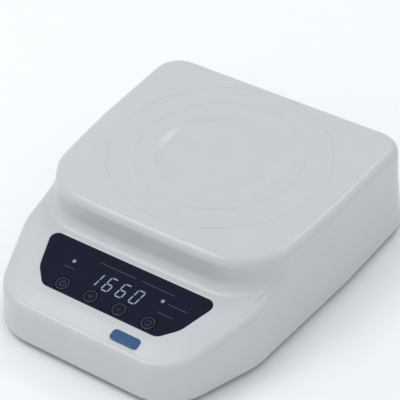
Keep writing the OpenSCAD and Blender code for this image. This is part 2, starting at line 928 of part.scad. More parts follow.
socket = [8, 5, 6];
motor_socket = [-socket[0] / 2, board_y + board_l / 2 - 6];
inlet_socket = [board_w / 2 - 14, board_y + board_l / 2 - 6];
panel_socket = [-board_w / 2 + 18, board_y - board_l / 2 + 1];
module board_sockets() {
    color("ivory")
    for (s = [motor_socket, inlet_socket, panel_socket])
        translate([s[0], s[1], board_top])
            cube(socket);
}

module speed_sensor() {
    jaw = 12.5;
    color("#1b1c1e")
    at_axis(bracket_top)
        difference() {
            translate([-4, -17.5, 0])
                cube([8, 17.5 - 10.2, disc_z + 0.8 + 2 - bracket_top]);
            translate([-5, -16, disc_z - bracket_top - 0.5])
                cube([10, jaw, 0.8 + 1]);
        }
}

module dc_jack() {
    color("#1c1d1f")
    at_inlet() {
        difference() {
            union() {
                cylinder(d = inlet_flange_d, h = inlet_flange_t);
                translate([0, 0, -11])
                    cylinder(d = inlet_d, h = 11 + eps);
            }
            translate([0, 0, -9])
                cylinder(d = inlet_bore, h = 20);
        }
        translate([0, 0, -9 - eps])
            cylinder(d = inlet_pin_d, h = 9);
        for (x = [-contact_x, contact_x])
            translate([x - 0.8, -0.3, -inlet_reach])
                cube([1.6, 0.6, inlet_reach - 11 + eps]);
    }
}

module dc_jack_nut() {
    nut_h = 2.6;
    nut_gap = 0.1;
    color("#c2c5c8")
    at_inlet()
        translate([0, 0, inlet_flange_t - wall - nut_gap - nut_h])
            difference() {
                cylinder(d = inlet_d + 5, h = nut_h, $fn = 6);
                translate([0, 0, -1])
                    cylinder(d = inlet_d, h = nut_h + 2);
            }
}

module motor_lead() {
    motor_y = axis_y - motor_d / 2;
    up_y = motor_socket[1] + socket[1] / 2;
    high_z = board_top + socket[2] + 4;
    color("#b03030")
    for (x = [-2, 2])
        lead([
            [x, up_y, board_top + socket[2]], [x, up_y, high_z], [x, motor_y - 4, high_z],
            [x, motor_y - 4, can_z + 2], [x, motor_y + 0.3, can_z + 2]
        ], lead_d);
}

module panel_ribbon() {
    ribbon_t = 0.6;
    ribbon_w = 6;
    y = panel_socket[1] + 2.5;
    y_up = panel_y + control_l / 2 - 6;
    z = board_top + socket[2];
    turn_z = z + 2.4;
    z_up = deck_z(y_up) + (control_top - board_t) / cos(deck_angle);
    color("#b9bcc0")
    translate([panel_socket[0] + 1, 0, 0]) {
        translate([0, y, z])
            cube([ribbon_w, ribbon_t, turn_z - z]);
        translate([0, y_up, turn_z - ribbon_t])
            cube([ribbon_w, y + ribbon_t - y_up, ribbon_t]);
        translate([0, y_up, turn_z - ribbon_t])
            cube([ribbon_w, ribbon_t, z_up - turn_z + ribbon_t]);
    }
}

module dc_lead() {
    reach = inlet_flange_t + inlet_reach;
    start = [inlet_x, inlet_wall_y - reach * cos(inlet_tilt), inlet_z - reach * sin(inlet_tilt)];
    apart = 1.5;
    side_x = pillar_pitch_x / 2 + 12;
    low_z = plate_top + lead_d;
    high_z = board_top + socket[2] + 4;
    end = inlet_socket + [socket[0], socket[1]] / 2;
    color("#303236")
    for (s = [-apart, apart])
        let (
            x = start[0] + sign(s) * contact_x,
            turn_y = start[1] - 4 + s,
            run_x = side_x + s,
            end_y = end[1] + s
        )
        lead([
            [x, start[1], start[2]], [x, turn_y, start[2]], [run_x, turn_y, start[2]],
            [run_x, turn_y, low_z], [run_x, end_y, low_z], [run_x, end_y, high_z],
            [end[0], end_y, high_z], [end[0], end_y, board_top + socket[2]]
        ], lead_d);
}

top_housing();
base_plate();
foot_front_left();
foot_front_right();
foot_back_left();
foot_back_right();
base_screws();
rating_label();
badge();
panel_lens();
display_digits();
led_power();
led_run();
display_module();
control_pcb();
tact_switches();
pcb_screws();
key_power();
key_minus();
key_plus();
key_mode();
plunger_power();
plunger_minus();
plunger_plus();
plunger_mode();
motor_bracket();
bracket_screws();
grommets();
motor_can();
motor_end_cap();
field_ring();
bush_top();
bush_bottom();
motor_screws();
motor_shaft();
rotor_core();
encoder_disc();
magnet_holder();
yoke_plate();
magnet_north();
magnet_south();
holder_screw();
driver_pcb();
driver_screws();
capacitor();
driver_chips();
board_sockets();
speed_sensor();
dc_jack();
dc_jack_nut();
motor_lead();
panel_ribbon();
dc_lead();
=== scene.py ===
"""Visible pieces and finishes of a compact magnetic stirrer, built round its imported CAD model."""

import json
import math

import bpy
import numpy as np
from bpy.props import FloatProperty, FloatVectorProperty, IntProperty, PointerProperty
from mathutils import Matrix, Vector


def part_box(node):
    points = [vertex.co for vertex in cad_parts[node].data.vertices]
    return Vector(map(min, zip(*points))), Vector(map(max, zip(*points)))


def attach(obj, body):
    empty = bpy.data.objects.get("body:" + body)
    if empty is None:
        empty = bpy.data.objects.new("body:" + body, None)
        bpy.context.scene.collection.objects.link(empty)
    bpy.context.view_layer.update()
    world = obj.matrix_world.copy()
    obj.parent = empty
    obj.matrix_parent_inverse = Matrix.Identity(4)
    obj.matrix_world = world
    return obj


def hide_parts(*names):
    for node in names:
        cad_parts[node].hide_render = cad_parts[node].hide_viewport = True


bl_info = {
    "name": "Magnetic Stirrer",
    "version": (1, 0, 0),
    "blender": (4, 5, 0),
    "location": "3D View > Sidebar > Stirrer",
    "description": "Builds the visible pieces, finishes and studio of a compact magnetic stirrer",
    "category": "Add Mesh",
}

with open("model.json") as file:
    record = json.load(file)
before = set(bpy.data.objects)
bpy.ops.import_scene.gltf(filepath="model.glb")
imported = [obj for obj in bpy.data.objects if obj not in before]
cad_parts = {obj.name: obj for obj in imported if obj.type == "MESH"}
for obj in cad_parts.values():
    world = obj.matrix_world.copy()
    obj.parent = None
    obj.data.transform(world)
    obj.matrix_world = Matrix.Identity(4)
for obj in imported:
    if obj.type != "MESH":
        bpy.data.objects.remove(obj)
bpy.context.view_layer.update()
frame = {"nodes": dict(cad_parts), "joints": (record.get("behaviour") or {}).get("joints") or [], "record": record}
MM = 0.001
FIT = 0.1 * MM  # play between a piece and the hole that holds it
INK = 0.02 * MM  # height of a printed mark
CRISP = 35  # degrees over which an edge stays crisp
SHELL_CRISP = 50  # the same on the housing, whose bends are soft
MOTTLE_MM = 14  # size of the slow change in a finish

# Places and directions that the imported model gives
HOUSING_LOW, HOUSING_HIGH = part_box("top_housing")
MOUNTS = {m["name"]: m for m in frame["record"]["mounts"]}
KEY_AXIS = Vector(next(j["axis"] for j in frame["joints"] if j["name"] == "press_power"))
SEAT = Vector(MOUNTS["vessel_seat"]["pos_m"])
KEYS = ("power", "plus", "minus", "mode")


def linear(code):
    """Linear colour of an sRGB hex code."""
    parts = [int(code[i : i + 2], 16) / 255 for i in (1, 3, 5)]
    return tuple(c / 12.92 if c <= 0.04045 else ((c + 0.055) / 1.055) ** 2.4 for c in parts)


def length(name, description, default):
    """A size in metres for the panel."""
    return FloatProperty(
        name=name, description=description, default=default, unit="LENGTH", precision=5
    )


def angle(name, description, degrees):
    """An angle for the panel."""
    return FloatProperty(
        name=name, description=description, default=math.radians(degrees), subtype="ANGLE"
    )


def colour(name, description, code):
    """A colour for the panel."""
    return FloatVectorProperty(
        name=name, description=description, subtype="COLOR", size=3, min=0, max=1, default=linear(code)
    )


# ======================= Settings =======================
class StirrerHousing(bpy.types.PropertyGroup):
    """Sizes of the moulded housing"""

    waist_width: length("Waist width", "Width beside the drive axis", 0.155)
    shoulder_width: length("Shoulder width", "Width beside the platform's front edge", 0.145)
    nose_width: length("Nose width", "Width at the front end", 0.125)
    back_radius: length("Back radius", "Radius of the back corners in plan", 0.018)
    nose_radius: length("Nose radius", "Radius of the front corners in plan", 0.028)
    side_radius: length("Side radius", "Radius of the gentle bends along the sides", 0.040)
    deck_drop: length("Deck drop", "Drop from the platform to the deck", 0.0168)
    draft: FloatProperty(name="Draft", description="Lean of the walls per unit of height", default=0.08)
    wall: length("Wall", "Thickness of the moulded walls", 0.0024)
    lip_radius: length("Lip radius", "Radius of the platform's soft edge", 0.0048)
    deck_edge_radius: length("Deck edge radius", "Radius of the deck's edge", 0.0042)
    lip_reach: length("Lip reach", "From the drive axis to the platform's front edge", 0.0675)
    lip_width: length("Lip width", "Width of the platform at its front edge", 0.139)
    lip_corner: length("Lip corner radius", "Radius of the platform's front corners", 0.030)
    cove: length("Cove", "Radius of the hollow at the platform's foot", 0.0062)
    ledge_end: length("Ledge end", "Width under which the deck's ledge dies away along the sides", 0.004)
    dish: length("Dish", "Diameter of the vessel dish", 0.0686)
    dish_rim: length("Dish rim", "Width of the dish's sloped rim", 0.0045)
    groove_inner: length("Inner groove", "Diameter of the inner centring groove", 0.0884)
    groove_outer: length("Outer groove", "Diameter of the outer centring groove", 0.1168)
    groove_width: length("Groove width", "Width of a centring groove", 0.0007)
    groove_depth: length("Groove depth", "Depth of a centring groove", 0.00014)
    rays: IntProperty(name="Rays", description="Slices round the housing", default=480, min=60, max=960)
    plastic: colour("Plastic", "Colour of the off-white ABS", "#C2C7CA")


class StirrerPanel(bpy.types.PropertyGroup):
    """Sizes of the glossy control panel"""

    from_front: length("From the front", "From the front end to the panel's middle", 0.0326)
    top_width: length("Upper width", "Width along the upper edge", 0.098)
    low_width: length("Lower width", "Width along the lower edge", 0.076)
    height: length("Height", "Height along the slope", 0.0302)
    bow: length("Bow", "How far the sides swell", 0.0008)
    pocket: length("Pocket", "Depth of the pocket in the deck", 0.001)
    proud: length("Proud", "How far the panel stands out of the deck", 0.0002)
    gap: length("Gap", "Gap round the panel", 0.0001)
    key: length("Key", "Diameter of a key", 0.0078)
    key_gap: length("Key gap", "Gap round a key", 0.0003)
    key_pitch: length("Key pitch", "Distance between neighbouring keys", 0.0173)
    key_row: length("Key row", "Height of the key row over the lower edge", 0.0048)
    row_shift: length("Row shift", "How far the keys sit right of the middle", 0.0005)
    light: length("Light", "Diameter of an indicator light's window", 0.0022)
    light_body: length("Light body", "Diameter of a light guide behind the panel", 0.003)
    light_pitch: length("Light pitch", "Distance between the two lights", 0.054)
    light_row: length("Light row", "Drop of the lights from the upper edge", 0.0114)
    light_shift: length("Light shift", "How far the lights sit left of the middle", 0.0014)
    acrylic: colour("Acrylic", "Colour of the smoked acrylic", "#0C1028")
    print_ink: colour("Print", "Colour of the screen-printed marks", "#2D313B")
    glow: colour("Glow", "Colour of the digits and the lights", "#7F94A2")


class StirrerStage(bpy.types.PropertyGroup):
    """Camera and studio light"""

    azimuth: angle("Azimuth", "Camera's turn round the object", 36.144)
    elevation: angle("Elevation", "Camera's height over the horizon", 39.559)
    roll: angle("Roll", "Camera's roll", -2.413)
    distance: length("Distance", "From the aim point to the camera", 0.8389)
    lens: FloatProperty(name="Lens", description="Focal length in millimetres", default=147.06)
    aim_left: length("Aim left", "From the dish to the aim point, leftwards in view", 0.009534)
    aim_down: length("Aim down", "From the dish to the aim point, downwards in view", 0.023726)
    aim_shift: length("Aim shift", "From the dish to the aim point, across the object", 0.0009)
    ambient: FloatProperty(
        name="Ambient", description="Strength of the even studio light", default=0.80
    )
    key_light: FloatProperty(
        name="Key light", description="Power of the key light", default=3.2, unit="POWER"
    )
    floor: colour("Floor", "Colour of the floor", "#F6F7F8")


# ======================= Mesh helpers =======================
def mesh_object(name, parts, material):
    """A smooth-shaded object made of (vertices, faces) parts."""
    vertices, faces = [], []
    for part_vertices, part_faces in parts:
        start = len(vertices)
        vertices += [tuple(v) for v in part_vertices]
        faces += [[start + i for i in face] for face in part_faces]
    mesh = bpy.data.meshes.new(name)
    mesh.from_pydata(vertices, [], faces)
    if mesh.validate():
        raise RuntimeError(f"{name} has faulty faces")
    made = bpy.data.objects.new(name, mesh)
    bpy.context.scene.collection.objects.link(made)
    finish_shading(made, CRISP)
    if material:
        mesh.materials.append(material)
    return made


def finish_shading(piece, sharp):
    """Smooth shading that keeps flat faces flat and edges over the sharp angle crisp."""
    piece.data.shade_smooth()
    piece.data.set_sharp_from_angle(angle=math.radians(sharp))
    if "flat faces" not in piece.modifiers:
        weighted = piece.modifiers.new("flat faces", "WEIGHTED_NORMAL")
        weighted.keep_sharp = True
        weighted.weight = 80


def place_piece(piece, body, *replaced, slot=None):
    """Lets a piece ride on a body and stand for CAD nodes."""
    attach(piece, body)
    if replaced:
        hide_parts(*replaced)
    return piece


def rounded(profile, radii, steps=6):
    """A profile with its corners rounded; a radius of 0 keeps a corner sharp."""
    points = []
    for i, radius in enumerate(radii):
        corner = Vector(profile[i])
        if not radius:
            points.append(corner)
            continue
        back = (Vector(profile[i - 1]) - corner).normalized()
        ahead = (Vector(profile[(i + 1) % len(profile)]) - corner).normalized()
        half = math.acos(max(-1, min(1, back.dot(ahead)))) / 2
        centre = corner + (back + ahead).normalized() * radius / math.sin(half)
        start = corner + back * radius / math.tan(half) - centre
        turn = (math.pi - 2 * half) * math.copysign(1, start.x * ahead.y - start.y * ahead.x)
        for k in range(steps + 1):
            a = turn * k / steps
            points.append(centre + Vector((start.x * math.cos(a) - start.y * math.sin(a),
                                           start.x * math.sin(a) + start.y * math.cos(a))))
    return points


def revolve(profile, place, segments=96, closed=False):
    """A profile of (radius, height) turned round the place's Z axis, listed from the bottom up."""
    vertices, rows, faces = [], [], []
    turns = [2 * math.pi * i / segments for i in range(segments)]
    for radius, height in profile:
        start = len(vertices)
        if radius < 1e-7:
            vertices.append(place @ Vector((0, 0, height)))
            rows.append([start])
        else:
            vertices += [place @ Vector((radius * math.cos(a), radius * math.sin(a), height))
                         for a in turns]
            rows.append(range(start, start + segments))
    pairs = list(zip(rows, rows[1:])) + ([(rows[-1], rows[0])] if closed else [])
    for low, high in pairs:
        for i in range(segments):
            j = (i + 1) % segments
            around = (low[i % len(low)], low[j % len(low)], high[j % len(high)], high[i % len(high)])
            face = list(dict.fromkeys(around))
            if len(face) > 2:
                faces.append(face)
    return vertices, faces


def loft(rings, place):
    """A closed solid through rings of (x, y, z) points, listed from the bottom up."""
    count = len(rings[0])
    vertices = [place @ Vector(p) for ring in rings for p in ring]
    faces = [list(range(count - 1, -1, -1))]
    for k in range(len(rings) - 1):
        for i in range(count):
            j = (i + 1) % count
            faces.append([k * count + i, k * count + j, (k + 1) * count + j, (k + 1) * count + i])
    top = (len(rings) - 1) * count
    faces.append(list(range(top, top + count)))
    return vertices, faces


def strip(points, low, high, place):
    """A flat shape of (x, y) points as a thin solid between two heights."""
    return loft([[(x, y, z) for x, y in points] for z in (low, high)], place)


def bar(x, y, width, height, low, high, place):
    """A rectangular mark round (x, y) as a thin solid."""
    w, h = width / 2, height / 2
    return strip([(x - w, y - h), (x + w, y - h), (x + w, y + h), (x - w, y + h)], low, high, place)


def arc(radius, width, start, end, low, high, place):
    """An arc-shaped mark round the place's axis as a thin solid, its ends given in degrees."""
    steps = 40
    turns = [math.radians(start + (end - start) * k / steps) for k in range(steps + 1)]
    outer, inner = ([(r * math.cos(a), r * math.sin(a)) for a in turns]
                    for r in (radius + width / 2, radius - width / 2))
    return strip(outer + inner[::-1], low, high, place)


def cut(target, parts):
    """Cuts closed parts out of a mesh object."""
    cutter = mesh_object("cutter", parts, None)
    modifier = target.modifiers.new("cut", "BOOLEAN")
    modifier.operation = "DIFFERENCE"
    modifier.solver = "EXACT"
    modifier.object = cutter
    weighted = target.modifiers.get("flat faces")
    weighted.show_viewport = False
    evaluated = target.evaluated_get(bpy.context.evaluated_depsgraph_get())
    carved = bpy.data.meshes.new_from_object(evaluated)
    if len(carved.polygons) <= len(target.data.polygons) // 2:
        raise RuntimeError(f"the cut emptied {target.name}")
    weighted.show_viewport = True
    target.modifiers.remove(modifier)
    target.data = carved
    bpy.data.objects.remove(cutter)


# ======================= Material helpers =======================
def add_node(tree, kind, settings=None, links=None):
    """Adds a node, sets its values and links its inputs to other nodes' outputs."""
    made = tree.nodes.new(kind)
    for name, value in (settings or {}).items():
        if hasattr(made, name):
            setattr(made, name, value)
        else:
            made.inputs[name].default_value = value
    for socket, source in (links or {}).items():
        tree.links.new(source, made.inputs[socket])
    return made


def surface(name, values):
    """An empty material with one principled shader set to values; returns it with its tree and shader."""
    made = bpy.data.materials.new(name)
    made.use_nodes = True
    tree = made.node_tree
    tree.nodes.clear()
    shader = add_node(tree, "ShaderNodeBsdfPrincipled", values)
    add_node(tree, "ShaderNodeOutputMaterial", links={"Surface": shader.outputs[0]})
    return made, tree, shader


def per_metre(size_mm):
    """Texture scale for a pattern whose features are size_mm across."""
    return 1000 / size_mm


def stretched(tree, scales):
    """Object coordinates stretched by a factor along each axis."""
    where = add_node(tree, "ShaderNodeTexCoord")
    mapped = add_node(tree, "ShaderNodeMapping", {"Scale": scales}, {"Vector": where.outputs["Object"]})
    return mapped.outputs[0]


def textured(name, code, grain_mm, relief_mm, rough, values=None, mottle=0.04, scales=(1, 1, 1)):
    """A finish with a grain in its relief, and a mottle in its colour and its roughness.
    code is a hex colour or a linear one, rough its lowest and highest roughness."""
    base = linear(code) if isinstance(code, str) else tuple(code)
    made, tree, shader = surface(name, values or {})
    where = stretched(tree, scales)
    grain = add_node(tree, "ShaderNodeTexNoise", {"Scale": per_metre(grain_mm), "Detail": 3},
                     {"Vector": where})
    cloud = add_node(tree, "ShaderNodeTexNoise", {"Scale": per_metre(MOTTLE_MM), "Detail": 2},
                     {"Vector": where})
    tint = add_node(tree, "ShaderNodeValToRGB", links={"Fac": cloud.outputs[0]})
    for stop, share in zip(tint.color_ramp.elements, (1 - mottle, 1 + mottle)):
        stop.color = (*(min(1, c * share) for c in base), 1)
    tint.color_ramp.elements[0].position, tint.color_ramp.elements[1].position = 0.3, 0.7
    gloss = add_node(tree, "ShaderNodeMapRange", {"To Min": rough[0], "To Max": rough[1]},
                     {"Value": grain.outputs[0]})
    relief = add_node(tree, "ShaderNodeBump", {"Distance": relief_mm * MM, "Strength": 1.0},
                      {"Height": grain.outputs[0]})
    tree.links.new(tint.outputs[0], shader.inputs["Base Color"])
    tree.links.new(gloss.outputs[0], shader.inputs["Roughness"])
    tree.links.new(relief.outputs[0], shader.inputs["Normal"])
    return made


PLASTIC = {"IOR": 1.53}
METAL = {"Metallic": 1.0}


def housing_abs(code):
    """Spark-eroded ABS moulding: a dry satin white. The 0.2 mm texture is drawn at 0.7 mm to show."""
    return textured("Spark-textured ABS", code, 0.7, 0.006, (0.27, 0.36), PLASTIC, 0.012)


def smoked_acrylic(code):
    """Smoked acrylic under a glare-cutting film: deep navy with a dim, clean reflection."""
    values = {"IOR": 1.49, "Specular IOR Level": 0.16}
    return textured("Smoked acrylic", code, 2.5, 0.0015, (0.10, 0.16), values, 0.10)


def glowing(name, code, strength):
    """A lit light guide: an even, cool glow in a satin surface."""
    base = tuple(code)
    values = {"IOR": 1.49, "Emission Color": (*base, 1), "Emission Strength": strength}
    return textured(name, base, 1.2, 0.002, (0.20, 0.30), values, 0.05)


def screen_ink(code):
    """Screen-printed ink: a faint grey, drier than the gloss round it."""
    return textured("Screen-printed ink", code, 0.6, 0.004, (0.45, 0.6), PLASTIC, 0.08)


def soft_rubber(name, code):
    """Moulded rubber: nearly matt, with a grey bloom in its grain."""
    return textured(name, code, 0.8, 0.02, (0.75, 0.9), {"IOR": 1.52}, 0.12)


def circuit_board():
    """Green solder mask over copper traces: glossy, with slightly lighter tracks 0.8 mm wide."""
    made, tree, shader = surface("Solder-masked board", {"IOR": 1.55, "Roughness": 0.3})
    where = stretched(tree, (1, 1, 1))
    tracks = add_node(
        tree, "ShaderNodeTexBrick",
        {"Scale": per_metre(5), "Color1": (*linear("#1B6A38"), 1), "Color2": (*linear("#17602F"), 1),
         "Mortar": (*linear("#2F8A50"), 1), "Mortar Size": 0.08, "Mortar Smooth": 0.2},
        {"Vector": where})
    relief = add_node(tree, "ShaderNodeBump", {"Distance": 0.00004}, {"Height": tracks.outputs["Fac"]})
    tree.links.new(tracks.outputs["Color"], shader.inputs["Base Color"])
    tree.links.new(relief.outputs[0], shader.inputs["Normal"])
    return made


def dress(material, *nodes):
    """Gives CAD nodes that still show a finish."""
    for name in nodes:
        slots = frame["nodes"][name].data.materials
        slots.clear()
        slots.append(material)


# ======================= Plan outlines =======================
def post(half_width, edge_y, radius, end):
    """A round post inside an outline, as (x, y, radius)."""
    return half_width - radius, edge_y - end * radius, radius


def both_sides(posts):
    """Right-hand posts, listed from the back to the front, with their mirror images, counter-clockwise."""
    return [*reversed(posts), *((-x, y, r) for x, y, r in posts)]


class Outline:
    """A plan outline wrapped round posts, kept as its tangent lines."""

    GRAZING = 0.3  # a tangent line counts only if its normal is nearer to the ray than this cosine
    NORMALS = 120  # points in a closed outline

    def __init__(self, posts):
        turns = [math.radians(a) for a in range(360)]
        for (px, py, pr), (qx, qy, qr) in zip(posts, posts[1:] + posts[:1]):
            run = math.hypot(qx - px, qy - py)
            turns.append(math.atan2(qy - py, qx - px) - math.acos((pr - qr) / run))
        self.posts = posts
        self.turns = np.array(turns)
        self.reach = np.max(
            [x * np.cos(self.turns) + y * np.sin(self.turns) + r for x, y, r in posts], axis=0)

    def distance(self, angle, inset):
        """From the origin to the outline, drawn in by inset, along an angle."""
        facing = np.cos(self.turns - angle)
        ahead = facing > self.GRAZING
        return float(np.min((self.reach[ahead] - inset) / facing[ahead]))

    def points(self, inset):
        """Points of the outline drawn in by inset, one for each normal."""
        found = []
        for i in range(self.NORMALS):
            a = 2 * math.pi * (i + 0.5) / self.NORMALS
            x, y, r = max(self.posts, key=lambda p: p[0] * math.cos(a) + p[1] * math.sin(a) + p[2])
            found.append((x + (r - inset) * math.cos(a), y + (r - inset) * math.sin(a)))
        return found


def smooth(t):
    """Eases a share from 0 to 1 without a kink at either end."""
    t = min(1, max(0, t))
    return t * t * (3 - 2 * t)


class Skin:
    """The housing's surface as radial slices: the walls, the sloped deck and the platform's block."""

    TURNS = [math.radians(a) for a in range(0, 91, 9)]  # steps of a quarter bend
    DECK_ROWS = 6  # rows across the deck
    LEAST_BEND = 0.8 * MM  # tightest bend inside the wall
    BAND = 1.5 * MM  # least upright band between the cove and the lip
    TOP_RUN = 1.5 * MM  # flat ring past the lip
    ROOF_RUN = 3 * MM  # from the inner lip to the roof under the dish
    BEAD = 0.4 * MM  # soft edge at the housing's foot

    def __init__(self, s):
        self.s = s
        self.foot_z, self.platform_z = HOUSING_LOW.z, HOUSING_HIGH.z
        self.lip_y = SEAT.y - s.lip_reach
        self.slope = -KEY_AXIS.y / KEY_AXIS.z
        self.shoulder_z = self.platform_z - s.lip_radius
        back = post(HOUSING_HIGH.x, HOUSING_HIGH.y, s.back_radius, 1)
        waist = post(s.waist_width / 2, SEAT.y, s.side_radius, 0)
        shoulder = post(s.shoulder_width / 2, self.lip_y, s.side_radius, 0)
        nose = post(s.nose_width / 2, HOUSING_LOW.y, s.nose_radius, -1)
        self.shell = Outline(both_sides([back, waist, shoulder, nose]))
        lean = s.draft * (self.shoulder_z - self.foot_z)
        self.block = Outline(both_sides([
            *((x, y, r - lean) for x, y, r in (back, waist)),
            post(s.lip_width / 2, self.lip_y, s.lip_corner, -1)]))

    def deck_z(self, y):
        """Height of the sloped deck at y."""
        return self.platform_z - self.s.deck_drop + self.slope * (y - self.lip_y)

    def slice(self, a, off):
        """One slice as (distance, height); off is 0 outside and the wall's thickness inside."""
        s, sine = self.s, math.sin(a)
        edge, lip = (max(r - off, self.LEAST_BEND) for r in (s.deck_edge_radius, s.lip_radius))

        def wall(z):
            return self.shell.distance(a, off + s.draft * (z - self.foot_z))

        stretch = [(o.distance(a, off) - o.distance(a, off + MM)) / MM for o in (self.shell, self.block)]
        level = self.platform_z - s.deck_drop
        for _ in range(3):
            level = self.deck_z(wall(level) * sine) - off
        level = min(level, self.shoulder_z - off - s.cove - self.BAND)
        ledge = max(0, wall(level) - self.block.distance(a, off - s.draft * (self.shoulder_z - level)))
        ledge *= smooth(ledge / s.ledge_end)
        edge_run, cove_run = edge * stretch[0], s.cove * stretch[1]
        share = min(1, ledge / (edge_run + cove_run))
        rows = [(wall(level - edge * (1 - math.sin(t))) - edge_run * share * (1 - math.cos(t)),
                 level - edge * (1 - math.sin(t))) for t in self.TURNS]
        start, end = rows[-1][0], wall(level) - ledge + cove_run * share
        for k in range(1, self.DECK_ROWS + 1):
            d = start + (end - start) * k / self.DECK_ROWS
            rows.append((d, level + (self.deck_z(d * sine) - off - level) * share))
        end, low = rows[-1]
        rows += [(end - cove_run * share * math.sin(t), low + s.cove * (1 - math.cos(t)))
                 for t in self.TURNS[1:]]
        # a narrow ledge flattens into the wall
        first, last, count = Vector(rows[0]), Vector(rows[-1]), len(rows) - 1
        rows = [tuple(first.lerp(last, k / count).lerp(Vector(row), share)) for k, row in enumerate(rows)]
        end, low = rows[-1]
        shoulder = self.platform_z - off - lip
        top = end - s.draft * stretch[1] * (shoulder - low)
        rows += [(top - lip * stretch[1] * (1 - math.cos(t)), shoulder + lip * math.sin(t))
                 for t in self.TURNS]
        rows.append((rows[-1][0] - self.TOP_RUN, self.platform_z - off))
        return self.shell.distance(a, off), rows

    def solid(self):
        """The whole moulding as one closed solid of the wall's thickness."""
        s, bead = self.s, self.BEAD
        loops = []
        for i in range(s.rays):
            a = 2 * math.pi * i / s.rays
            foot, outer = self.slice(a, 0)
            inner_foot, inner = self.slice(a, s.wall)
            rows = [
                (inner[-1][0] - self.ROOF_RUN, inner[-1][1] - (self.platform_z - SEAT.z)),
                *reversed(inner),
                (inner_foot, self.foot_z),
                (foot - bead, self.foot_z),
                (foot - bead / 4, self.foot_z + bead / 4),
                (foot, self.foot_z + bead),
                *outer,
            ]
            loops.append([(d * math.cos(a), d * math.sin(a), z) for d, z in rows])
        return loft([[loop[k] for loop in loops] for k in range(len(loops[0]))], Matrix())


def panel_place():
    """The panel's frame: X to the right, Y up the slope, Z out of the deck."""
    housing, panel = bpy.context.scene.stirrer_housing, bpy.context.scene.stirrer_panel
    y = HOUSING_LOW.y + panel.from_front
    return Matrix.Translation((0, y, Skin(housing).deck_z(y))) @ Matrix.Rotation(deck_angle(), 4, "X")


def deck_angle():
    """The deck's slope, from the keys' axis."""
    return math.atan2(KEY_AXIS.y, -KEY_AXIS.z)


def panel_outline(panel):
    """The panel's outline in its own frame, narrower at the lower edge."""
    middle = (panel.top_width + panel.low_width) / 4 + panel.bow
    return Outline(both_sides([
        post(panel.top_width / 2, panel.height / 2, 4 * MM, 1),
        post(middle, 0, 12 * MM, 0),
        post(panel.low_width / 2, -panel.height / 2, 6 * MM, -1)]))


def key_places(panel):
    """Each key's name and middle in the panel's frame."""
    row = panel.key_row - panel.height / 2
    return [(name, panel.row_shift + (i - 1.5) * panel.key_pitch, row) for i, name in enumerate(KEYS)]


def light_places(panel):
    """Each indicator light's name and middle in the panel's frame."""
    row = panel.height / 2 - panel.light_row
    return [(name, side * panel.light_pitch / 2 - panel.light_shift, row)
            for name, side in (("power", -1), ("run", 1))]


def inlet_place():
    """The power inlet's frame: Z out of the back wall, at the wall's outer face."""
    mount = MOUNTS["dc_inlet"]
    turn = Vector(mount["axis"]).to_track_quat("Z", "X").to_matrix().to_4x4()
    return Matrix.Translation(mount["pos_m"]) @ turn


def at(place, x, y):
    """A frame moved to (x, y) in its own plane."""
    return place @ Matrix.Translation((x, y, 0))


# ======================= Pieces =======================
INLET_BARREL = 5.5 * MM
INLET_FLANGE = 7 * MM
INLET_FLANGE_T = 1.2 * MM


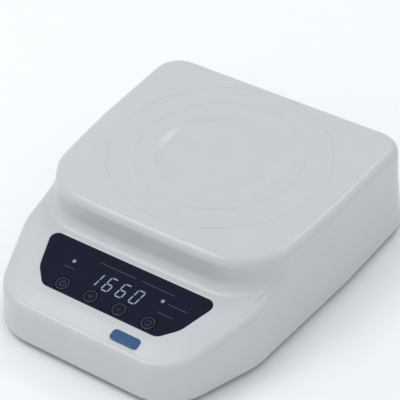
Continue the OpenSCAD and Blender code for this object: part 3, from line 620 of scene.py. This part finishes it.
class STIRRER_OT_housing(bpy.types.Operator):
    """Moulds the housing with its dish, centring grooves, panel pocket and openings"""

    bl_idname = "stirrer.housing"
    bl_label = "Housing"

    WINDOW_PLAY = 0.3 * MM
    WINDOW_HALF_HEIGHT = 5.1 * MM
    OVER = 2 * MM  # how far a cutter reaches past the surface it opens

    def execute(self, context):
        s, panel = context.scene.stirrer_housing, context.scene.stirrer_panel
        place = panel_place()
        shell = mesh_object("housing_shell", [Skin(s).solid()], housing_abs(s.plastic))
        cut(shell, [*self.platform_hollows(s), self.pocket(panel, place), self.inlet_seat()])
        cut(shell, self.openings(panel, place))
        finish_shading(shell, SHELL_CRISP)
        place_piece(shell, "housing", "top_housing", slot="housing_plastic")
        return {"FINISHED"}

    def platform_hollows(self, s):
        """The vessel dish and the centring grooves."""
        top, radius = HOUSING_HIGH.z, s.dish / 2
        seat = Matrix.Translation((SEAT.x, SEAT.y, 0))
        above, outside = top + 0.01 * MM, radius + 3 * MM
        dish = rounded(
            [(0, SEAT.z), (radius - s.dish_rim, SEAT.z), (radius, above), (outside, above),
             (outside, top + self.OVER), (0, top + self.OVER)],
            [0, 5 * MM, 4 * MM, 0, 0, 0])
        hollows = [revolve(dish, seat, 192)]
        for diameter in (s.groove_inner, s.groove_outer):
            ring = [(diameter / 2 + s.groove_width / 2 * math.cos(a), top + s.groove_depth * math.sin(a))
                    for a in (2 * math.pi * (k + 0.5) / 12 for k in range(12))]
            hollows.append(revolve(ring, seat, 192, closed=True))
        return hollows

    def pocket(self, panel, place):
        """The pocket that holds the panel, with a soft brim."""
        gap = panel.gap
        wall = [(-gap, -panel.pocket), (-gap, -0.2 * MM), (-gap - 0.06 * MM, -0.06 * MM),
                (-gap - 0.22 * MM, 0.01 * MM), (-gap - 0.3 * MM, self.OVER)]
        outline = panel_outline(panel)
        return loft([[(x, y, z) for x, y in outline.points(inset)] for inset, z in wall], place)

    def inlet_seat(self):
        """The recess for the power inlet's flange."""
        radius = INLET_FLANGE + FIT
        return revolve([(0, -INLET_FLANGE_T), (radius, -INLET_FLANGE_T), (radius, 3 * MM), (0, 3 * MM)],
                       inlet_place())

    def openings(self, panel, place):
        """The holes through the wall: keys, lights, display window and power inlet."""

        def hole(x, y, radius):
            return revolve([(0, -6 * MM), (radius, -6 * MM), (radius, 0), (0, 0)], at(place, x, y), 64)

        low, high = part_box("display_module")
        centre = place.inverted() @ ((low + high) / 2)
        half_width = (high.x - low.x) / 2 + self.WINDOW_PLAY
        barrel = INLET_BARREL + FIT
        return [
            *(hole(x, y, panel.key / 2 + panel.key_gap) for _, x, y in key_places(panel)),
            *(hole(x, y, panel.light_body / 2 + FIT) for _, x, y in light_places(panel)),
            bar(centre.x, centre.y, 2 * half_width, 2 * self.WINDOW_HALF_HEIGHT, -6 * MM, 0, place),
            revolve([(0, -8 * MM), (barrel, -8 * MM), (barrel, 0), (0, 0)], inlet_place()),
        ]


class STIRRER_OT_panel(bpy.types.Operator):
    """Builds the smoked panel with its soft edge, its key and light holes and its printed marks"""

    bl_idname = "stirrer.panel"
    bl_label = "Control panel"

    def execute(self, context):
        panel = context.scene.stirrer_panel
        place = panel_place()
        outline = panel_outline(panel)
        edge = [(0, -panel.pocket), (0, 0), (0.03 * MM, 0.11 * MM), (0.1 * MM, 0.17 * MM),
                (0.22 * MM, panel.proud)]
        rings = [[(x, y, z) for x, y in outline.points(inset)] for inset, z in edge]
        sheet = mesh_object("panel_face", [loft(rings, place)], smoked_acrylic(panel.acrylic))
        key_radius = panel.key / 2 + panel.key_gap
        # each hole opens with a fine bevel at its mouth
        mouth, over = panel.proud - 0.12 * MM, panel.proud + 0.02 * MM
        holes = [revolve([(0, -3 * MM), (radius, -3 * MM), (radius, mouth), (radius + 0.14 * MM, over),
                          (0, over)], at(place, x, y), 72)
                 for places, radius in ((key_places(panel), key_radius),
                                        (light_places(panel), panel.light / 2))
                 for _, x, y in places]
        cut(sheet, holes)
        finish_shading(sheet, CRISP)
        place_piece(sheet, "housing", "panel_lens", slot="panel_gloss")
        self.print_marks(panel, place)
        return {"FINISHED"}

    def print_marks(self, panel, place):
        """Plain bars where a maker's title and legends would stand."""
        low, high = panel.proud, panel.proud + INK
        (_, left, light_y), (_, right, _) = light_places(panel)
        title_y = panel.height / 2 - 6.2 * MM
        marks = [
            bar(-5 * MM, title_y, 22 * MM, 0.45 * MM, low, high, place),
            bar(19 * MM, title_y, 20 * MM, 0.45 * MM, low, high, place),
            bar(left, light_y - 4.2 * MM, 6 * MM, 0.4 * MM, low, high, place),
            bar(right + 9 * MM, light_y - 0.4 * MM, 11 * MM, 0.4 * MM, low, high, place),
            bar(right + 5.5 * MM, light_y - 6.5 * MM, 9 * MM, 0.4 * MM, low, high, place),
        ]
        ink = screen_ink(panel.print_ink)
        place_piece(mesh_object("panel_marks", marks, ink), "housing")


class STIRRER_OT_keys(bpy.types.Operator):
    """Builds the four round keys with their printed rings and icons"""

    bl_idname = "stirrer.keys"
    bl_label = "Keys"

    def execute(self, context):
        panel = context.scene.stirrer_panel
        gloss = smoked_acrylic(panel.acrylic)
        ink = screen_ink(panel.print_ink)
        place = panel_place()
        radius = panel.key / 2
        collar = radius + 0.6 * MM  # keeps the key behind the wall
        profile = rounded(
            [(0, -4.2 * MM), (2 * MM, -4.2 * MM), (2 * MM, -3.7 * MM), (collar, -3.7 * MM),
             (collar, -2.7 * MM), (radius, -2.7 * MM), (radius, panel.proud), (0, panel.proud)],
            [0, 0.15 * MM, 0.1 * MM, 0.1 * MM, 0.1 * MM, 0.1 * MM, 0.3 * MM, 0], 5)
        low, high = panel.proud, panel.proud + INK
        inner, outer = radius - 0.66 * MM, radius - 0.32 * MM
        for name, x, y in key_places(panel):
            spot = at(place, x, y)
            body = f"key_{name}_body"
            cap = mesh_object(f"key_cap_{name}", [revolve(profile, spot, 96)], gloss)
            place_piece(cap, body, f"key_{name}", slot="key_gloss")
            ring = revolve([(inner, low), (outer, low), (outer, high), (inner, high)], spot, 96,
                           closed=True)
            marks = [ring, *self.icon(name, low, high, spot)]
            place_piece(mesh_object(f"key_print_{name}", marks, ink), body)
        return {"FINISHED"}

    def icon(self, name, low, high, spot):
        """The printed sign of a key, in strokes of one width."""
        stroke, span = 0.32 * MM, 2.4 * MM
        if name == "power":
            return [arc(1.45 * MM, stroke, 120, 420, low, high, spot),
                    bar(0, 1.3 * MM, stroke, 1.6 * MM, low, high, spot)]
        if name == "mode":
            return [arc(1.4 * MM, stroke, -150, 120, low, high, spot),
                    bar(-0.95 * MM, 1.2 * MM, 0.9 * MM, stroke, low, high, spot)]
        across = bar(0, 0, span, stroke, low, high, spot)
        if name == "minus":
            return [across]
        arm = (span - stroke) / 2
        return [across, *(bar(0, side * (arm + stroke) / 2, stroke, arm, low, high, spot)
                          for side in (-1, 1))]


class STIRRER_OT_lights(bpy.types.Operator):
    """Builds the indicator lights and lights up the display's digits"""

    bl_idname = "stirrer.lights"
    bl_label = "Lights and digits"

    def execute(self, context):
        panel = context.scene.stirrer_panel
        place = panel_place()
        guide = glowing("Lit light guide", panel.glow, 0.04)
        radius, body = panel.light / 2 - 0.02 * MM, panel.light_body / 2
        crown = panel.proud + 0.1 * MM
        profile = rounded([(0, -8.5 * MM), (body, -8.5 * MM), (body, -1.2 * MM), (radius, -1.2 * MM),
                           (radius, crown), (0, crown)], [0, 0.2 * MM, 0.1 * MM, 0, 0.35 * MM, 0], 6)
        for name, x, y in light_places(panel):
            light = mesh_object(f"light_guide_{name}", [revolve(profile, at(place, x, y), 48)], guide)
            place_piece(light, "housing", f"led_{name}", slot="indicator_light")
        dress(glowing("Lit display segments", panel.glow, 0.10), "display_digits")
        return {"FINISHED"}


class STIRRER_OT_badge(bpy.types.Operator):
    """Builds the plain badge plate on the deck"""

    bl_idname = "stirrer.badge"
    bl_label = "Badge"

    def execute(self, context):
        place = panel_place()
        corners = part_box("badge")
        low, high = (place.inverted() @ corner for corner in corners)
        centre = (low + high) / 2
        half_width, half_height, radius = (corners[1].x - corners[0].x) / 2, 3 * MM, 2 * MM
        outline = Outline(both_sides([
            post(half_width, half_height, radius, 1), post(half_width, -half_height, radius, -1)]))
        edge = [(0, 0), (0, 0.15 * MM), (0.08 * MM, 0.3 * MM), (0.22 * MM, 0.37 * MM),
                (0.45 * MM, 0.4 * MM)]
        rings = [[(centre.x + x, centre.y + y, z) for x, y in outline.points(inset)] for inset, z in edge]
        # anodised sheet, brushed along its length: a cool blue sheen with fine streaks
        plate = textured("Brushed anodised aluminium", "#234A76", 0.5, 0.004, (0.34, 0.48),
                         {"Metallic": 0.35}, 0.10, (0.08, 1, 1))
        place_piece(mesh_object("badge_plate", [loft(rings, place)], plate), "housing", "badge",
                    slot="badge_metal")
        return {"FINISHED"}


class STIRRER_OT_feet(bpy.types.Operator):
    """Builds the four rubber feet with their ribs and plugs"""

    bl_idname = "stirrer.feet"
    bl_label = "Feet"

    def execute(self, context):
        rubber = soft_rubber("Moulded nitrile rubber", "#242527")
        foot_h = HOUSING_LOW.z
        for name in ("front_left", "front_right", "back_left", "back_right"):
            low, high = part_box(f"foot_{name}")
            radius = (high.x - low.x) / 2
            profile = rounded(
                [(0, 0.5 * MM), (3.2 * MM, 0.5 * MM), (3.6 * MM, 0), (4.6 * MM, 0), (4.9 * MM, 0.4 * MM),
                 (5.4 * MM, 0.4 * MM), (5.7 * MM, 0), (radius - 1 * MM, 0), (radius, 1 * MM),
                 (radius, foot_h), (3 * MM, foot_h), (3 * MM, high.z), (0, high.z)],
                [0, 0.2 * MM, 0.15 * MM, 0.15 * MM, 0.1 * MM, 0.1 * MM, 0.15 * MM, 0.5 * MM, 0.5 * MM,
                 0.3 * MM, 0, 0.5 * MM, 0], 4)
            spot = Matrix.Translation(((low.x + high.x) / 2, (low.y + high.y) / 2, 0))
            foot = mesh_object(f"rubber_foot_{name}", [revolve(profile, spot, 72)], rubber)
            place_piece(foot, "housing", f"foot_{name}", slot="foot_rubber")
        return {"FINISHED"}


class STIRRER_OT_inlet(bpy.types.Operator):
    """Builds the power inlet in the back wall"""

    bl_idname = "stirrer.inlet"
    bl_label = "Power inlet"

    def execute(self, context):
        place = inlet_place() @ Matrix.Translation((0, 0, -INLET_FLANGE_T))
        bore, depth = 2.8 * MM, 9 * MM
        barrel = rounded(
            [(0, -11 * MM), (INLET_BARREL, -11 * MM), (INLET_BARREL, 0), (INLET_FLANGE, 0),
             (INLET_FLANGE, INLET_FLANGE_T), (bore, INLET_FLANGE_T), (bore, -depth), (0, -depth)],
            [0, 0.4 * MM, 0, 0.1 * MM, 0.4 * MM, 0.5 * MM, 0, 0])
        # black and slightly dry, with short glass fibres in its grain
        nylon = textured("Glass-filled nylon", "#1B1C1E", 0.5, 0.01, (0.4, 0.6), PLASTIC, 0.1)
        tags = [bar(x, 0, 1.6 * MM, 0.6 * MM, -14 * MM, -11 * MM, place) for x in (-2.5 * MM, 2.5 * MM)]
        socket = mesh_object("inlet_socket", [revolve(barrel, place, 72), *tags], nylon)
        place_piece(socket, "housing", "dc_jack", slot="component_black")
        pin = rounded([(0, -depth), (1 * MM, -depth), (1 * MM, -0.2 * MM), (0, -0.2 * MM)],
                      [0, 0, 0.6 * MM, 0])
        # bright, faintly yellow plating that catches a point of light
        nickel = textured("Nickel-plated brass", "#C9C6BE", 0.6, 0.002, (0.18, 0.3), METAL, 0.05)
        place_piece(mesh_object("inlet_pin", [revolve(pin, place, 48)], nickel), "housing")
        return {"FINISHED"}


class STIRRER_OT_base(bpy.types.Operator):
    """Gives the base plate, its screws and its label their finishes"""

    bl_idname = "stirrer.base"
    bl_label = "Base"

    def execute(self, context):
        # ABS, coarser spark texture than the housing: charcoal and dry
        charcoal = textured("Coarse-textured ABS", "#3A3D41", 1.1, 0.03, (0.55, 0.7), PLASTIC, 0.06)
        # bright zinc on pressed screws: cool, with a faint blue bloom
        zinc = textured("Bright zinc plate", "#C4C8CE", 1.5, 0.004, (0.22, 0.36), METAL, 0.08)
        # matt label stock: paper fibres drawn at 0.9 mm
        label = textured("Matt label stock", "#E2E3E2", 0.9, 0.01, (0.7, 0.85), {"IOR": 1.45}, 0.03)
        dress(charcoal, "base_plate")
        dress(zinc, "base_screws", "pcb_screws", "bracket_screws", "motor_screws", "driver_screws",
              "dc_jack_nut")
        dress(label, "rating_label")
        return {"FINISHED"}


class STIRRER_OT_drive(bpy.types.Operator):
    """Gives the motor, its bracket and the magnet drive their finishes"""

    bl_idname = "stirrer.drive"
    bl_label = "Motor and magnets"

    def execute(self, context):
        # cold-rolled sheet, passivated: grey with long rolling streaks
        sheet = textured("Passivated sheet steel", "#A9ADB1", 0.7, 0.006, (0.3, 0.45), METAL, 0.08,
                         (0.06, 1, 1))
        # deep-drawn can, nickel-plated: brighter, with upright drawing marks
        drawn = textured("Drawn nickel-plated steel", "#B9BBBC", 0.6, 0.005, (0.22, 0.34), METAL, 0.06,
                         (1, 1, 0.06))
        # sintered bronze: warm, with oil-filled pores drawn at 0.5 mm
        bronze = textured("Sintered bronze", "#A9794A", 0.5, 0.03, (0.4, 0.6), METAL, 0.14)
        # ground shaft: fine rings round it
        ground = textured("Ground steel", "#C9CCCF", 0.4, 0.002, (0.12, 0.2), METAL, 0.03, (1, 1, 6))
        # varnished laminations: brown varnish over 0.5 mm sheets
        laminated = textured("Varnished laminations", "#6E4A2E", 0.5, 0.05, (0.3, 0.5), {"IOR": 1.5}, 0.15,
                             (0.1, 0.1, 1))
        # pressed ferrite: dark, dull and slightly chalky
        ferrite = textured("Pressed ferrite", "#3B3C3F", 0.9, 0.02, (0.6, 0.8), {"IOR": 1.6}, 0.1)
        # nickel over neodymium: bright and slightly orange-peeled
        nickel = textured("Nickel-plated magnet", "#C6C5C0", 2.0, 0.006, (0.1, 0.18), METAL, 0.04)
        # natural nylon: milky, satin
        nylon = textured("Natural nylon", "#D8D6CC", 1.4, 0.01, (0.4, 0.55), PLASTIC, 0.03)
        # black moulding: plain and satin
        black = textured("Moulded component plastic", "#1C1D1F", 0.7, 0.01, (0.4, 0.6), PLASTIC, 0.1)
        # blued screw: near black, with a soft metal sheen
        oxide = textured("Black-oxide steel", "#26282B", 0.6, 0.006, (0.35, 0.5), METAL, 0.12)
        soft = soft_rubber("Soft rubber", "#202123")
        dress(sheet, "motor_bracket", "yoke_plate")
        dress(drawn, "motor_can")
        dress(bronze, "bush_top", "bush_bottom")
        dress(ground, "motor_shaft")
        dress(laminated, "rotor_core")
        dress(ferrite, "field_ring")
        dress(nickel, "magnet_north", "magnet_south")
        dress(nylon, "magnet_holder")
        dress(black, "motor_end_cap", "encoder_disc", "speed_sensor")
        dress(oxide, "holder_screw")
        dress(soft, "grommets")
        return {"FINISHED"}


class STIRRER_OT_electrics(bpy.types.Operator):
    """Gives the boards, their parts and the leads their finishes"""

    bl_idname = "stirrer.electrics"
    bl_label = "Electrics"

    def execute(self, context):
        # chip and display cases: black, with a fine satin haze
        black = textured("Moulded epoxy", "#1A1B1D", 0.6, 0.01, (0.4, 0.6), PLASTIC, 0.1)
        # slippery mid grey, with a soft sheen
        grey = textured("Grey acetal", "#8A8D90", 0.8, 0.008, (0.35, 0.5), {"IOR": 1.48}, 0.04)
        # warm off-white, satin
        ivory = textured("Ivory nylon", "#DAD3B8", 0.9, 0.01, (0.4, 0.55), PLASTIC, 0.03)
        # heat-shrunk PVC sleeve: glossy blue with slight waves
        sleeve = textured("Shrunk PVC sleeve", "#24406E", 3.0, 0.02, (0.15, 0.28), PLASTIC, 0.06)
        dress(circuit_board(), "control_pcb", "driver_pcb")
        dress(black, "display_module", "tact_switches", "driver_chips")
        dress(grey, *(f"plunger_{name}" for name in KEYS))
        dress(ivory, "board_sockets")
        dress(sleeve, "capacitor")
        # soft PVC insulation: satin, with faint extrusion marks
        for node, code in (("motor_lead", "#A42A2A"), ("dc_lead", "#222326"), ("panel_ribbon", "#A9ACB0")):
            dress(textured(f"PVC insulation {node}", code, 1.0, 0.01, (0.4, 0.55), PLASTIC, 0.08), node)
        return {"FINISHED"}


class STIRRER_OT_stage(bpy.types.Operator):
    """Sets up the floor, the studio light and the camera"""

    bl_idname = "stirrer.stage"
    bl_label = "Stage"

    RIM_SHARE = 0.32  # rim light's power as a share of the key light's

    def execute(self, context):
        s = context.scene.stirrer_stage
        self.floor(s)
        self.lights(context, s)
        self.camera(context, s)
        return {"FINISHED"}

    def floor(self, s):
        """A wide sheet of paper under the feet."""
        # matt near-white paper: no gloss, only a soft contact shadow
        paper = textured("Studio paper", s.floor, 3.0, 0.0, (0.8, 0.9),
                         {"IOR": 1.4, "Specular IOR Level": 0.2}, 0.004)
        mesh_object("studio_floor", [bar(0, 0, 8, 8, -0.01, 0, Matrix())], paper)

    def lights(self, context, s):
        """Even studio light, a key light and a small rim light from behind."""
        world = bpy.data.worlds.new("Studio")
        world.use_nodes = True
        sky = world.node_tree.nodes["Background"]
        sky.inputs["Color"].default_value = (0.97, 0.985, 1.0, 1)
        sky.inputs["Strength"].default_value = s.ambient
        context.scene.world = world
        context.scene.view_settings.view_transform = "Standard"
        for name, way, power, size, tint in (
            ("key_light", (-0.5, -0.25, 1.0), s.key_light, 0.5, "#FFFFFF"),
            ("rim_light", (-0.02, 0.7, 0.84), s.key_light * self.RIM_SHARE, 0.16, "#F4F9FF"),
        ):
            data = bpy.data.lights.new(name, "AREA")
            data.energy, data.size, data.color = power, size, linear(tint)
            lamp = bpy.data.objects.new(name, data)
            context.scene.collection.objects.link(lamp)
            lamp.location = SEAT + Vector(way)
            lamp.rotation_euler = Vector(way).to_track_quat("Z", "Y").to_euler()

    def camera(self, context, s):
        """A long lens, from the front right and above."""
        az, el = s.azimuth, s.elevation
        back = Vector((math.sin(az) * math.cos(el), -math.cos(az) * math.cos(el), math.sin(el)))
        level = Vector((math.cos(az), math.sin(az), 0))
        upright = back.cross(level)
        right = level * math.cos(s.roll) + upright * math.sin(s.roll)
        up = upright * math.cos(s.roll) - level * math.sin(s.roll)
        dish = Vector((SEAT.x - s.aim_shift, SEAT.y, HOUSING_HIGH.z))
        aim = dish - right * s.aim_left - up * s.aim_down
        data = bpy.data.cameras.new("camera")
        data.lens, data.sensor_width = s.lens, 36
        camera = bpy.data.objects.new("camera", data)
        context.scene.collection.objects.link(camera)
        turn = Matrix((right, up, back)).transposed().to_4x4()
        camera.matrix_world = Matrix.Translation(aim + back * s.distance) @ turn
        context.scene.camera = camera


class STIRRER_PT_panel(bpy.types.Panel):
    """Lists the stirrer's sizes, colours and pieces"""

    bl_idname = "STIRRER_PT_panel"
    bl_label = "Magnetic Stirrer"
    bl_space_type = "VIEW_3D"
    bl_region_type = "UI"
    bl_category = "Stirrer"

    def draw(self, context):
        for operator in OPERATORS:
            self.layout.operator(operator.bl_idname)
        for group in SETTINGS:
            settings, box = getattr(context.scene, group), self.layout.box()
            for name in settings.__annotations__:
                box.prop(settings, name)


OPERATORS = (
    STIRRER_OT_housing,
    STIRRER_OT_panel,
    STIRRER_OT_keys,
    STIRRER_OT_lights,
    STIRRER_OT_badge,
    STIRRER_OT_feet,
    STIRRER_OT_inlet,
    STIRRER_OT_base,
    STIRRER_OT_drive,
    STIRRER_OT_electrics,
    STIRRER_OT_stage,
)
SETTINGS = {
    "stirrer_housing": StirrerHousing,
    "stirrer_panel": StirrerPanel,
    "stirrer_stage": StirrerStage,
}


def register():
    """Adds the settings, the operators and the panel."""
    for name, group in SETTINGS.items():
        bpy.utils.register_class(group)
        setattr(bpy.types.Scene, name, PointerProperty(type=group))
    for cls in (*OPERATORS, STIRRER_PT_panel):
        bpy.utils.register_class(cls)


def unregister():
    """Takes them away again."""
    for cls in (STIRRER_PT_panel, *reversed(OPERATORS)):
        bpy.utils.unregister_class(cls)
    for name, group in reversed(SETTINGS.items()):
        delattr(bpy.types.Scene, name)
        bpy.utils.unregister_class(group)


def main():
    """Builds every piece and the stage."""
    register()
    bpy.ops.stirrer.stage()
    bpy.ops.stirrer.housing()
    bpy.ops.stirrer.panel()
    bpy.ops.stirrer.keys()
    bpy.ops.stirrer.lights()
    bpy.ops.stirrer.badge()
    bpy.ops.stirrer.feet()
    bpy.ops.stirrer.inlet()
    bpy.ops.stirrer.base()
    bpy.ops.stirrer.drive()
    bpy.ops.stirrer.electrics()


if __name__ == "__main__":
    main()
